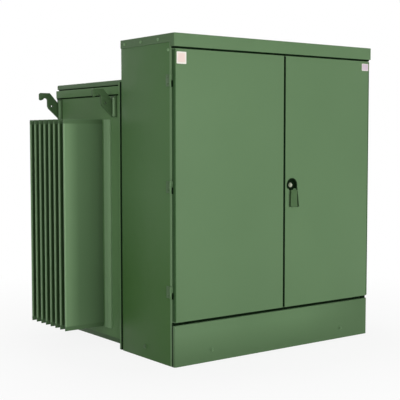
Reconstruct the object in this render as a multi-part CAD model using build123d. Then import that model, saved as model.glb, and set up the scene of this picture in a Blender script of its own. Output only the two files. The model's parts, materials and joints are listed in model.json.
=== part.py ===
from build123d import *
import os

# Pad-mounted three-phase transformer, millimetres, +Z up, front towards -Y.
# The origin is at the bottom centre of the whole unit's box.

# Terminal cabinet
cabinet_width = 1464.0
cabinet_height = 1760.0
cabinet_depth = 510.0
sheet = 3.0
panel_return = 40.0
fascia_height = 70.0
hood_sheet = 3.0
hood_clearance = 2.0
skirt_height = 46.0
back_panel_height = 227.0
back_panel_inset = 6.0
sill_height = 222.0
sill_inner_corner = 5.0
rail_bottom = 150.0
rail_lap = 15.0

# Doors
door_depth = 25.0
door_back_gap = 4.0
door_side_gap = 4.0
door_meeting_gap = 10.0
door_split_offset = 38.0
sill_gap = 17.0
fascia_gap = 10.0
stiffener_height = 60.0
stiffener_depth = 19.0
stiffener_end_gap = 45.0
stiffener_height_shares = (0.25, 0.75)

# Hinges, a lower half with the pin on the cabinet and an upper half on the door
hinge_count = 3
hinge_height = 64.0
hinge_below_door_top = 164.0
hinge_above_door_bottom = 159.0
barrel_radius = 6.0
hinge_pin_radius = 3.0
pin_clearance = 0.06
barrel_gap = 0.3
barrel_side_clearance = 0.5
leaf_thickness = 3.0
leaf_gap = 2.0
leaf_length = 36.0
strap_length = 8.0
strap_bite_share = 0.6

# Door handle: a paddle that pulls out on a pin across a dish, under the locking bolt's pocket
dish_inset = 17.0
bolt_above_ground = 944.0
pocket_radius = 36.0
dish_left = 24.0
dish_right_top = 41.0
dish_right_bottom = 60.0
dish_above = 14.0
dish_below = 130.0
dish_corner = 10.0
dish_depth = 16.0
dish_sheet = 2.0
paddle_left = 9.0
paddle_right_top = 37.0
paddle_right_bottom = 41.0
paddle_drop = 28.0
paddle_length = 94.0
paddle_corner = 4.0
paddle_thickness = 8.0
handle_reach = 6.0
paddle_pin_drop = 34.0
paddle_pin_depth = 4.0
paddle_pin_radius = 3.0
paddle_barrel_radius = 5.0
paddle_barrel_side_gap = 4.0
bolt_radius = 10.0
bolt_height = 10.0
latch_rod_width = 12.0
latch_rod_thickness = 6.0
latch_rod_offset = 28.0
latch_rod_gap = 8.0
latch_rod_end_gap = 30.0

# Tank behind the cabinet
tank_length = 786.0
tank_inset = 36.0
tank_floor = 44.0
tank_height = 1512.0
tank_corner = 6.0
flange_depth = 22.0
flange_above_tank = 18.0
terminal_plate_depth = 15.0
terminal_plate_inset = 24.0
terminal_plate_bottom = 40.0
rim_height = 46.0
rim_proud = 10.0
gasket_thickness = 7.0
gasket_inset = 6.0
cover_thickness = 28.0
cover_overhang = 2.0
cover_edge = 4.0
handhole_length = 360.0
handhole_width = 260.0
handhole_thickness = 10.0
rail_inset = 78.0
rail_width = 70.0
rail_end_gap = 40.0

# Cooling fins on the tank's two sides
fin_count = 8
fin_pitch = 59.4
fin_thickness = 14.0
fin_tip = 4.0
fin_taper = 34.0
fin_depth = 257.0
fin_bottom = 96.0
fin_drop = 188.0
fin_start = 226.5
fin_wall_margin = 73.5
fin_wall_thickness = 10.0

# Lifting hooks, plates that stand out from the tank's sides under the rim
hook_reach = 137.0
hook_height = 162.0
hook_drop = 177.0
hook_thickness = 16.0
hook_hole_radius = 6.0
hook_front_depth = 119.0
hook_rear_depth = 769.0
hook_pad_width = 58.0
hook_pad_behind = 10.0
hook_pad_gap = 8.0
hook_pad_thickness = 6.0
hook_back_shares = ((0.0, 0.0), (0.0, 0.55), (0.48, 1.0), (0.95, 1.0), (1.0, 0.95), (1.0, 0.75), (0.94, 0.71),
                    (0.82, 0.75))
hook_notch_share = (0.68, 0.8)
hook_front_shares = ((0.595, 0.69), (0.59, 0.49), (0.54, 0.4), (0.06, 0.04), (0.0, 0.0))
hook_hole_share = (0.383, 0.5)

# Fittings on the tank's front plate, inside the cabinet
barrier_gap = 15.0
barrier_bottom = 60.0
hv_bushing_drop = 630.0
hv_bushing_pitch = 200.0
hv_flange_radius = 62.0
hv_flange_length = 12.0
hv_body_radius = 44.0
hv_body_length = 70.0
hv_nose_radius = 29.0
hv_nose_length = 65.0
fuse_drop = 340.0
fuse_pitch = 150.0
fuse_radius = 26.0
fuse_length = 110.0
fuse_cap_radius = 33.0
fuse_cap_length = 22.0
lv_bushing_drop = 500.0
lv_bushing_pitch = 150.0
lv_body_radius = 46.0
lv_body_length = 62.0
spade_width = 64.0
spade_thickness = 12.0
spade_length = 120.0
gauge_drop = 160.0
gauge_pitch = 165.0
gauge_radius = 48.0
gauge_depth = 42.0
valve_height = 330.0
valve_offset = 180.0
valve_radius = 22.0
valve_length = 90.0
valve_wheel_radius = 42.0
valve_wheel_thickness = 12.0
ground_pad_height = 170.0
ground_pad_size = 60.0
ground_pad_thickness = 20.0
ground_pad_inset = 110.0
nameplate_width = 220.0
nameplate_height = 150.0
nameplate_thickness = 2.0
nameplate_drop = 890.0

overrun = 5.0

# Stations worked out from the sizes above
half = cabinet_width / 2
depth_behind_face = cabinet_depth + terminal_plate_depth + flange_depth + tank_length + rim_proud
face_y = (handle_reach - depth_behind_face) / 2
door_back_y = face_y + door_depth
side_front_y = door_back_y + door_back_gap
side_rear_y = face_y + cabinet_depth
flange_front_y = side_rear_y + terminal_plate_depth
tank_front_y = flange_front_y + flange_depth
tank_rear_y = tank_front_y + tank_length
hood_under_z = cabinet_height - hood_sheet
plate_top_z = hood_under_z - back_panel_height
fascia_bottom_z = cabinet_height - fascia_height
door_bottom_z = sill_height + sill_gap
door_top_z = fascia_bottom_z - fascia_gap
door_height = door_top_z - door_bottom_z
split_x = door_split_offset
left_door_x = (-half + door_side_gap, split_x - door_meeting_gap / 2)
right_door_x = (split_x + door_meeting_gap / 2, half - door_side_gap)
tank_half = half - tank_inset
hinge_x = -half - barrel_radius - barrel_side_clearance
hinge_y = door_back_y + door_back_gap / 2
lowest_hinge_z = door_bottom_z + hinge_above_door_bottom
hinge_pitch = (door_top_z - hinge_below_door_top - lowest_hinge_z) / (hinge_count - 1)
hinge_middles = [lowest_hinge_z + index * hinge_pitch for index in range(hinge_count)]
bolt_x = right_door_x[0] + dish_inset + pocket_radius
bolt_z = bolt_above_ground
paddle_pin_y = face_y + paddle_pin_depth
paddle_pin_z = bolt_z - paddle_pin_drop
flange_height = tank_height + flange_above_tank
fin_top = tank_height - fin_drop
hook_bottom = tank_height - hook_drop
hook_pad_top = tank_height - rim_height - hook_pad_gap
hv_bushing_z = plate_top_z - hv_bushing_drop
fuse_z = plate_top_z - fuse_drop
lv_bushing_z = plate_top_z - lv_bushing_drop
gauge_z = plate_top_z - gauge_drop
nameplate_z = plate_top_z - nameplate_drop
hv_middle_x = (-half + split_x) / 2
lv_middle_x = (split_x + half) / 2


def block(x, y, z):
    """A box between pairs of x, y and z."""
    size = [high - low for low, high in (x, y, z)]
    middle = [(low + high) / 2 for low, high in (x, y, z)]
    return Pos(*middle) * Box(*size)


def rod(x, y_front, y_back, z, radius):
    """A cylinder along Y."""
    turned = Pos(x, (y_front + y_back) / 2, z) * Rot(X=90)
    return turned * Cylinder(radius, y_back - y_front)


def group(solids):
    """Solids that don't touch, as one node."""
    return Compound(children=[solid for item in solids for solid in item.solids()])


def row(middle, pitch, count):
    """Places spaced evenly about a middle."""
    return [middle + (index - (count - 1) / 2) * pitch for index in range(count)]


def flip(part):
    """The same piece on the other side of the unit."""
    return mirror(part, about=Plane.YZ)


def side_panel():
    """Left side of the cabinet: a sheet with a return along its front and rear edges."""
    z = (0, hood_under_z)
    skin = block((-half, -half + sheet), (side_front_y, side_rear_y), z)
    front = block((-half, -half + panel_return), (side_front_y, side_front_y + sheet), z)
    rear = block((-half, -half + panel_return), (side_rear_y - sheet, side_rear_y), z)
    return skin + front + rear


def hood():
    """Roof sheet with a tall fascia over the doors and a shorter skirt on the other sides."""
    rear_y = side_rear_y + sheet
    outer_half = half + hood_clearance + hood_sheet
    shell = block((-outer_half, outer_half), (face_y, rear_y + hood_sheet), (fascia_bottom_z, cabinet_height))
    roof_edges = shell.faces().sort_by(Axis.Z)[-1].edges()
    shell = fillet(roof_edges, hood_sheet)
    inner_half = half + hood_clearance
    inside = block((-inner_half, inner_half), (face_y + hood_sheet, rear_y), (0, hood_under_z))
    below_skirt = block((-outer_half - overrun, outer_half + overrun),
                        (side_front_y, rear_y + hood_sheet + overrun), (0, cabinet_height - skirt_height))
    return shell - inside - below_skirt


def sill():
    """Removable front panel under the doors, wrapped round the cabinet's corners."""
    outer = block((-half, half), (face_y, side_front_y), (0, sill_height))
    corners = outer.edges().filter_by(Axis.Z).group_by(Axis.Y)[0]
    outer = fillet(corners, sill_inner_corner + sheet)
    inner = block((-half + sheet, half - sheet), (face_y + sheet, side_front_y + overrun),
                  (-overrun, sill_height + overrun))
    corners = inner.edges().filter_by(Axis.Z).group_by(Axis.Y)[0]
    return outer - fillet(corners, sill_inner_corner)


def door_pan(x):
    """Door sheet with its edges folded back all round."""
    z = (door_bottom_z, door_top_z)
    pan = block(x, (face_y, door_back_y), z)
    front_edges = pan.faces().sort_by(Axis.Y)[0].edges()
    pan = fillet(front_edges, sheet)
    inside = block((x[0] + sheet, x[1] - sheet), (face_y + sheet, door_back_y + overrun),
                   (z[0] + sheet, z[1] - sheet))
    return pan - inside


def door_stiffeners(x):
    """Two cross bars on the inside of a door."""
    bars = []
    for share in stiffener_height_shares:
        middle = door_bottom_z + share * door_height
        bars.append(block((x[0] + stiffener_end_gap, x[1] - stiffener_end_gap),
                          (face_y + sheet, face_y + sheet + stiffener_depth),
                          (middle - stiffener_height / 2, middle + stiffener_height / 2)))
    return group(bars)


def hinge_seat(middle):
    """Fixed half of a left hinge: leaf on the side panel, lower barrel and the pin standing in it."""
    low, high = middle - hinge_height / 2, middle + hinge_height / 2
    leaf_x = (-half - leaf_thickness, -half)
    leaf_y = hinge_y + barrel_radius + leaf_gap
    leaf = block(leaf_x, (leaf_y, leaf_y + leaf_length), (low, high))
    web = block(leaf_x, (hinge_y, leaf_y), (low, middle))
    barrel = Pos(hinge_x, hinge_y, (low + middle) / 2) * Cylinder(barrel_radius, middle - low)
    pin = Pos(hinge_x, hinge_y, (low + high) / 2) * Cylinder(hinge_pin_radius, high - low)
    return leaf + web + barrel + pin


def hinge_strap(middle):
    """Moving half of a left hinge: upper barrel on the pin and a strap to the door's edge."""
    low, high = middle + barrel_gap, middle + hinge_height / 2
    barrel = Pos(hinge_x, hinge_y, (low + high) / 2) * Cylinder(barrel_radius, high - low)
    strap = block((hinge_x + strap_bite_share * barrel_radius, left_door_x[0]),
                  (hinge_y - strap_length, hinge_y), (low, high))
    bore = Pos(hinge_x, hinge_y, (low + high) / 2)
    bore *= Cylinder(hinge_pin_radius + pin_clearance, high - low + overrun)
    notch = block((-half, left_door_x[0] + overrun), (door_back_y, hinge_y + overrun), (low, high))
    return barrel + (strap - notch) - bore


def on_door(y):
    """Plane across the right door at a depth, its origin on the locking bolt's axis, facing forward."""
    return Plane((bolt_x, y, bolt_z), x_dir=(1, 0, 0), z_dir=(0, -1, 0))


def dish_outline():
    """Round pocket for the bolt over a dish that widens to its foot."""
    dish = Polygon((-dish_left, -dish_below), (dish_right_bottom, -dish_below), (dish_right_top, dish_above),
                   (-dish_left, dish_above), align=None)
    return Circle(pocket_radius) + fillet(dish.vertices(), dish_corner)


def dish_cut():
    """The dish's opening in the door's sheet."""
    return extrude(on_door(face_y + sheet + overrun) * dish_outline(), sheet + 2 * overrun)


def paddle_rod(x, radius):
    """A cylinder along the paddle's pin between a pair of x measured from the bolt."""
    middle = Pos(bolt_x + (x[0] + x[1]) / 2, paddle_pin_y, paddle_pin_z)
    return middle * Rot(Y=90) * Cylinder(radius, x[1] - x[0])


def dish():
    """Formed dish welded into the right door, with the paddle's pin across it."""
    outline = dish_outline()
    outer = extrude(on_door(face_y + dish_depth) * outline, dish_depth)
    inside = extrude(on_door(face_y + dish_depth - dish_sheet) * offset(outline, -dish_sheet),
                     dish_depth - dish_sheet + overrun)
    pin = paddle_rod((-dish_left - overrun, dish_right_bottom + overrun), paddle_pin_radius) & outer
    return outer - inside + pin


def paddle():
    """Pull handle: a plate over the dish, with a barrel on the pin behind its top."""
    foot = -paddle_drop - paddle_length
    plate = Polygon((-paddle_left, foot), (paddle_right_bottom, foot), (paddle_right_top, -paddle_drop),
                    (-paddle_left, -paddle_drop), align=None)
    plate = fillet(plate.vertices(), paddle_corner)
    back_y = face_y - handle_reach + paddle_thickness
    plate = extrude(on_door(back_y) * plate, paddle_thickness)
    span = (-paddle_left + paddle_barrel_side_gap, paddle_right_top - paddle_barrel_side_gap)
    barrel = paddle_rod(span, paddle_barrel_radius)
    bore_span = (-paddle_left - overrun, paddle_right_bottom + overrun)
    bore = paddle_rod(bore_span, paddle_pin_radius + pin_clearance)
    return plate + barrel - bore


def locking_bolt():
    """Five-sided bolt head on the floor of its pocket."""
    head = RegularPolygon(bolt_radius, side_count=5)
    return extrude(on_door(face_y + dish_depth - dish_sheet) * head, bolt_height)


def latch_rods():
    """Flat rods on the dish's back that run up and down the right door's free edge."""
    x = (bolt_x - latch_rod_offset - latch_rod_width / 2, bolt_x - latch_rod_offset + latch_rod_width / 2)
    y = (face_y + dish_depth, face_y + dish_depth + latch_rod_thickness)
    upper = block(x, y, (bolt_z + latch_rod_gap / 2, door_top_z - latch_rod_end_gap))
    lower = block(x, y, (door_bottom_z + latch_rod_end_gap, bolt_z - latch_rod_gap / 2))
    return group([upper, lower])


def tank_block(grow, z):
    """The tank's plan, grown on its two sides and its rear, with round rear corners."""
    body = block((-tank_half - grow, tank_half + grow), (tank_front_y, tank_rear_y + grow), z)
    corners = body.edges().filter_by(Axis.Z).group_by(Axis.Y)[-1]
    return fillet(corners, tank_corner + grow)


def rim():
    """Flat bar round the top of the tank's wall."""
    z = (tank_height - rim_height, tank_height)
    return tank_block(rim_proud, z) - tank_block(0, z)


def cover():
    """Tank lid, its top edges eased."""
    z = tank_height + gasket_thickness
    lid = tank_block(cover_overhang, (z, z + cover_thickness))
    return chamfer(lid.faces().sort_by(Axis.Z)[-1].edges(), cover_edge)


def fin(y):
    """One hollow cooling plate, round along its outer edge and pinched at its top and foot."""
    root_x = -tank_half - fin_wall_thickness
    plan = Pos(root_x - fin_depth / 2, y) * Rectangle(fin_depth, fin_thickness)
    outer = plan.vertices().group_by(Axis.X)[0]
    plan = fillet(outer, fin_thickness / 2 - fin_tip / 2)
    plate = extrude(Pos(0, 0, fin_bottom) * plan, fin_top - fin_bottom)
    wide, tip = fin_thickness / 2, fin_tip / 2
    right = [(tip, fin_bottom), (wide, fin_bottom + fin_taper), (wide, fin_top - fin_taper), (tip, fin_top)]
    left = [(-across, z) for across, z in reversed(right)]
    side = Polygon(*[(y + across, z) for across, z in right + left], align=None)
    profile = extrude(Plane.YZ.offset(root_x - fin_depth) * side, fin_depth)
    return plate & profile


def hook(y):
    """Left lifting hook: a cut plate near the rear of its pad, with its notch opening downwards."""
    def place(share):
        return (-tank_half - share[0] * hook_reach, hook_bottom + share[1] * hook_height)

    back = [place(share) for share in hook_back_shares]
    front = [place(share) for share in hook_front_shares]
    notch = ThreePointArc(back[-1], place(hook_notch_share), front[0])
    outline = make_face([Polyline(*back), notch, Polyline(*front)])
    hole = Pos(*place(hook_hole_share)) * Circle(hook_hole_radius)
    plate = extrude(Plane.XZ.offset(-y) * (outline - hole), hook_thickness / 2, both=True)
    pad_rear_y = y + hook_pad_behind
    pad = block((-tank_half - hook_pad_thickness, -tank_half), (pad_rear_y - hook_pad_width, pad_rear_y),
                (hook_bottom, hook_pad_top))
    return plate + pad


def hv_bushing(x):
    """High-voltage bushing, three steps standing out from the front plate."""
    body_y = side_rear_y - hv_flange_length
    nose_y = body_y - hv_body_length
    flange = rod(x, body_y, side_rear_y, hv_bushing_z, hv_flange_radius)
    body = rod(x, nose_y, body_y, hv_bushing_z, hv_body_radius)
    nose = rod(x, nose_y - hv_nose_length, nose_y, hv_bushing_z, hv_nose_radius)
    return flange + body + nose


def fuse_holder(x):
    """Fuse holder tube with a wider cap."""
    cap_y = side_rear_y - fuse_length
    tube = rod(x, cap_y, side_rear_y, fuse_z, fuse_radius)
    return tube + rod(x, cap_y - fuse_cap_length, cap_y, fuse_z, fuse_cap_radius)


def lv_spade(x):
    """Flat low-voltage terminal on the end of its bushing."""
    back_y = side_rear_y - lv_body_length
    return block((x - spade_thickness / 2, x + spade_thickness / 2), (back_y - spade_length, back_y),
                 (lv_bushing_z - spade_width / 2, lv_bushing_z + spade_width / 2))


def drain_valve():
    """Drain valve and its handwheel, low on the low-voltage side."""
    x = lv_middle_x + valve_offset
    wheel_y = side_rear_y - valve_length
    body = rod(x, wheel_y, side_rear_y, valve_height, valve_radius)
    return body + rod(x, wheel_y - valve_wheel_thickness, wheel_y, valve_height, valve_wheel_radius)


def ground_pad(x):
    """Block for an earth lead."""
    reach = ground_pad_size / 2
    return block((x - reach, x + reach), (side_rear_y - ground_pad_thickness, side_rear_y),
                 (ground_pad_height - reach, ground_pad_height + reach))


left_side = side_panel()
left_rail = block((-half + rail_inset, -half + rail_inset + rail_width),
                  (tank_front_y, tank_rear_y - rail_end_gap), (0, tank_floor))
first_fin_y = tank_front_y + fin_start
last_fin_y = first_fin_y + (fin_count - 1) * fin_pitch
left_fin_wall = block((-tank_half - fin_wall_thickness, -tank_half),
                      (first_fin_y - fin_wall_margin, last_fin_y + fin_wall_margin), (fin_bottom, fin_top))
left_fins = group([fin(first_fin_y + index * fin_pitch) for index in range(fin_count)])
left_seats = group([hinge_seat(middle) for middle in hinge_middles])
left_straps = group([hinge_strap(middle) for middle in hinge_middles])
front_hook = hook(tank_front_y + hook_front_depth)
rear_hook = hook(tank_front_y + hook_rear_depth)
cover_top_z = tank_height + gasket_thickness + cover_thickness
cover_middle_y = (tank_front_y + tank_rear_y) / 2

parts = {
    "cabinet_left_side": left_side,
    "cabinet_right_side": flip(left_side),
    "cabinet_hood": hood(),
    "cabinet_back_panel": block((-half + back_panel_inset, half - back_panel_inset),
                                (side_rear_y, side_rear_y + sheet), (plate_top_z, hood_under_z)),
    "front_sill": sill(),
    "lower_front_rail": block((-half + sheet, half - sheet), (side_front_y + sheet, side_front_y + 2 * sheet),
                              (rail_bottom, door_bottom_z + rail_lap)),
    "left_hinge_seats": left_seats,
    "right_hinge_seats": flip(left_seats),
    "left_door": door_pan(left_door_x),
    "left_door_stiffeners": door_stiffeners(left_door_x),
    "left_hinge_straps": left_straps,
    "right_door": door_pan(right_door_x) - dish_cut(),
    "right_door_stiffeners": door_stiffeners(right_door_x),
    "right_hinge_straps": flip(left_straps),
    "handle_dish": dish(),
    "locking_bolt": locking_bolt(),
    "latch_rods": latch_rods(),
    "door_handle": paddle(),
    "terminal_plate": block((-half + terminal_plate_inset, half - terminal_plate_inset),
                            (side_rear_y, flange_front_y), (terminal_plate_bottom, plate_top_z)),
    "tank_front_flange": block((-half, half), (flange_front_y, tank_front_y), (0, flange_height)),
    "tank_body": tank_block(0, (tank_floor, tank_height)),
    "tank_rim": rim(),
    "cover_gasket": block((-tank_half + gasket_inset, tank_half - gasket_inset),
                          (tank_front_y + gasket_inset, tank_rear_y - gasket_inset),
                          (tank_height, tank_height + gasket_thickness)),
    "tank_cover": cover(),
    "handhole_cover": block((-handhole_length / 2, handhole_length / 2),
                            (cover_middle_y - handhole_width / 2, cover_middle_y + handhole_width / 2),
                            (cover_top_z, cover_top_z + handhole_thickness)),
    "left_base_rail": left_rail,
    "right_base_rail": flip(left_rail),
    "left_fin_wall": left_fin_wall,
    "left_cooling_fins": left_fins,
    "right_fin_wall": flip(left_fin_wall),
    "right_cooling_fins": flip(left_fins),
    "front_left_hook": front_hook,
    "rear_left_hook": rear_hook,
    "front_right_hook": flip(front_hook),
    "rear_right_hook": flip(rear_hook),
    "compartment_barrier": block((split_x - sheet / 2, split_x + sheet / 2),
                                 (door_back_y + barrier_gap, side_rear_y), (barrier_bottom, fascia_bottom_z)),
    "hv_bushings": group([hv_bushing(x) for x in row(hv_middle_x, hv_bushing_pitch, 3)]),
    "fuse_holders": group([fuse_holder(x) for x in row(hv_middle_x, fuse_pitch, 3)]),
    "lv_bushings": group([rod(x, side_rear_y - lv_body_length, side_rear_y, lv_bushing_z, lv_body_radius)
                          for x in row(lv_middle_x, lv_bushing_pitch, 4)]),
    "lv_terminal_spades": group([lv_spade(x) for x in row(lv_middle_x, lv_bushing_pitch, 4)]),
    "gauges": group([rod(x, side_rear_y - gauge_depth, side_rear_y, gauge_z, gauge_radius)
                     for x in row(lv_middle_x, gauge_pitch, 3)]),
    "drain_valve": drain_valve(),
    "ground_pads": group([ground_pad(x) for x in (-half + ground_pad_inset, half - ground_pad_inset)]),
    "nameplate": block((lv_middle_x - nameplate_width / 2, lv_middle_x + nameplate_width / 2),
                       (side_rear_y - nameplate_thickness, side_rear_y),
                       (nameplate_z - nameplate_height / 2, nameplate_z + nameplate_height / 2)),
}

os.makedirs("parts", exist_ok=True)
for name, part in parts.items():
    export_step(part, f"parts/{name}.step")
print(len(parts), "parts")
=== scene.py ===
import json
import math
import bmesh
import bpy
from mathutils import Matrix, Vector


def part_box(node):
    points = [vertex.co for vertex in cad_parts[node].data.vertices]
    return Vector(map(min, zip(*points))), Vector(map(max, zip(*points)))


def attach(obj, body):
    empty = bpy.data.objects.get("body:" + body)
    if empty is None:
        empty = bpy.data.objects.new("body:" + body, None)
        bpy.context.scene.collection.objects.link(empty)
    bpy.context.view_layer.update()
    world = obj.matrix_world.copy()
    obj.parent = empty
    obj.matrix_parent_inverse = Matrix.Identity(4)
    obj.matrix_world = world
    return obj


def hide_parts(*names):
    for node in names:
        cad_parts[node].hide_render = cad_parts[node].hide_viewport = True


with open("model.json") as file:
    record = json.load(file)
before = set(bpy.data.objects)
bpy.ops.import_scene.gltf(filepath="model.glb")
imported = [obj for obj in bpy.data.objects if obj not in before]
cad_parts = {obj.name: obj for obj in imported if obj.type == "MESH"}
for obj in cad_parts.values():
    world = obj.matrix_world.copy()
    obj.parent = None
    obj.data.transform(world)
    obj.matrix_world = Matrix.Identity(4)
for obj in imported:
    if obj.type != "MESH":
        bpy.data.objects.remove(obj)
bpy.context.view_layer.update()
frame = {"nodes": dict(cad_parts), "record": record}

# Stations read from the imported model, in metres
hood_low, hood_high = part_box("cabinet_hood")
side_low, side_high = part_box("cabinet_left_side")
sill_low, sill_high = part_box("front_sill")
left_door_low, left_door_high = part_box("left_door")
right_door_low, right_door_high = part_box("right_door")
plate_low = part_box("terminal_plate")[0]
flange_low, flange_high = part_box("tank_front_flange")
tank_low, tank_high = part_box("tank_body")
dish_low, dish_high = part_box("handle_dish")
bolt_low, bolt_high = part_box("locking_bolt")
FACE_Y = left_door_low.y
SIDE_X = side_low.x
BOARD_Y = plate_low.y
SHEET = 0.003
RUBBER = 0.0012
OVERRUN = 0.01
NEAR = 0.0004
MERGE = 0.00002
SHY = 0.00005


# Work in object mode and edit mode

def put_down():
    """Leaves edit mode with nothing selected."""
    if bpy.context.object and bpy.context.object.mode != "OBJECT":
        bpy.ops.object.mode_set(mode="OBJECT")
    bpy.ops.object.select_all(action="DESELECT")


def take_up(piece, *others):
    """Selects pieces, the first one active."""
    put_down()
    for each in (piece, *others):
        each.select_set(True)
    bpy.context.view_layer.objects.active = piece


def named(name):
    """Names the new piece and sets its place into its mesh."""
    piece = bpy.context.object
    piece.name = piece.data.name = name
    bpy.ops.object.transform_apply(location=True, rotation=True, scale=True)
    return piece


def block(name, low, high):
    """A cube stretched between two corners."""
    put_down()
    middle = [(a + b) / 2 for a, b in zip(low, high)]
    size = [b - a for a, b in zip(low, high)]
    bpy.ops.mesh.primitive_cube_add(size=1, location=middle, scale=size)
    return named(name)


def pick_faces(test):
    """Selects faces of the piece in edit mode by their middle and normal."""
    bpy.ops.object.mode_set(mode="EDIT")
    bpy.ops.mesh.select_mode(type="FACE")
    bpy.ops.mesh.select_all(action="DESELECT")
    data = bpy.context.object.data
    mesh = bmesh.from_edit_mesh(data)
    for face in mesh.faces:
        face.select_set(bool(test(face.calc_center_median(), face.normal)))
    bmesh.update_edit_mesh(data)


def pick_edges(test):
    """Selects edges of the piece in edit mode by their middle and direction."""
    bpy.ops.object.mode_set(mode="EDIT")
    bpy.ops.mesh.select_mode(type="EDGE")
    bpy.ops.mesh.select_all(action="DESELECT")
    data = bpy.context.object.data
    mesh = bmesh.from_edit_mesh(data)
    for edge in mesh.edges:
        one, two = edge.verts
        way = (two.co - one.co).normalized()
        edge.select_set(bool(test((one.co + two.co) / 2, way)))
    bmesh.update_edit_mesh(data)


def near(a, b):
    """Whether two stations are the same."""
    return abs(a - b) < NEAR


def push(x=0.0, y=0.0, z=0.0):
    """Extrudes what is selected."""
    bpy.ops.mesh.extrude_region_move(TRANSFORM_OT_translate={"value": (x, y, z)})


def round_edges(width, segments=3):
    """Bevels what is selected."""
    bpy.ops.mesh.bevel(offset=width, segments=segments, affect="EDGES", clamp_overlap=True)


def face_outwards(piece):
    """Merges doubles and turns the faces outwards."""
    take_up(piece)
    bpy.ops.object.mode_set(mode="EDIT")
    bpy.ops.mesh.select_all(action="SELECT")
    bpy.ops.mesh.remove_doubles(threshold=MERGE)
    bpy.ops.mesh.normals_make_consistent(inside=False)
    bpy.ops.object.mode_set(mode="OBJECT")


def modify(piece, kind, **settings):
    """Adds a modifier and applies it."""
    take_up(piece)
    modifier = piece.modifiers.new(kind.title(), kind)
    for key, value in settings.items():
        setattr(modifier, key, value)
    bpy.ops.object.modifier_apply(modifier=modifier.name)


def ease(piece, width=0.0015, segments=2, angle=35):
    """Rounds all the sharp edges of a finished shape."""
    modify(piece, "BEVEL", width=width, segments=segments, limit_method="ANGLE",
           angle_limit=math.radians(angle), harden_normals=False)


def cut(piece, *tools):
    """Takes the tools' shapes out of a piece."""
    for tool in tools:
        modify(piece, "BOOLEAN", operation="DIFFERENCE", object=tool, solver="EXACT")
        bpy.data.objects.remove(tool)


def join(name, pieces):
    """Joins pieces into one."""
    take_up(*pieces)
    bpy.ops.object.join()
    return named(name)


def copies(piece, places):
    """Copies a piece from the first place to each of the others and joins them all."""
    made = [piece]
    for place in places[1:]:
        take_up(piece)
        bpy.ops.object.duplicate()
        bpy.ops.transform.translate(value=Vector(place) - Vector(places[0]))
        made.append(bpy.context.object)
    return join(piece.name, made)


def other_side(piece, name):
    """The same piece mirrored to the other side of the unit."""
    take_up(piece)
    bpy.ops.object.duplicate()
    bpy.ops.transform.resize(value=(-1, 1, 1), center_override=(0, 0, 0))
    copy = named(name)
    face_outwards(copy)
    return copy


def turned(name, start, axis, steps, sides=28):
    """A turned shape: a disc pushed along an axis through pairs of distance and radius."""
    put_down()
    turn = {"x": (0, math.pi / 2, 0), "y": (math.pi / 2, 0, 0), "z": (0, 0, 0)}[axis]
    along = Vector([float(axis == letter) for letter in "xyz"])
    across = Vector((1, 1, 1)) - along
    at, radius = steps[0]
    here = Vector(start) + along * at
    bpy.ops.mesh.primitive_circle_add(vertices=sides, radius=radius, fill_type="NGON",
                                      location=here, rotation=turn)
    piece = named(name)
    bpy.ops.object.mode_set(mode="EDIT")
    bpy.ops.mesh.select_all(action="SELECT")
    for next_at, next_radius in steps[1:]:
        push(*(along * (next_at - at)))
        here = Vector(start) + along * next_at
        share = next_radius / radius
        bpy.ops.transform.resize(value=along + across * share, center_override=here)
        at, radius = next_at, next_radius
    face_outwards(piece)
    return piece


SMOOTH_ANGLE = math.radians(32)


def done(piece, finish, body="housing", stands_for=()):
    """Finishes a piece: shading, material, body and the solids it stands for."""
    take_up(piece)
    bpy.ops.object.shade_smooth_by_angle(angle=SMOOTH_ANGLE)
    piece.data.materials.clear()
    piece.data.materials.append(finish)
    for face in piece.data.polygons:
        face.material_index = 0
    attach(piece, body)
    if stands_for:
        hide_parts(*stands_for)
    return piece


def solid_copy(node, name):
    """A merged copy of a solid's mesh, for easing its edges."""
    put_down()
    source = frame["nodes"][node]
    copy = source.copy()
    copy.data = source.data.copy()
    copy.parent = None
    for key in list(copy.keys()):
        del copy[key]
    bpy.context.scene.collection.objects.link(copy)
    copy.name = copy.data.name = name
    take_up(copy)
    bpy.ops.object.mode_set(mode="EDIT")
    bpy.ops.mesh.select_all(action="SELECT")
    bpy.ops.mesh.remove_doubles(threshold=MERGE)
    bpy.ops.mesh.dissolve_limited(angle_limit=math.radians(1))
    bpy.ops.object.mode_set(mode="OBJECT")
    return copy


# Finishes

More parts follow.
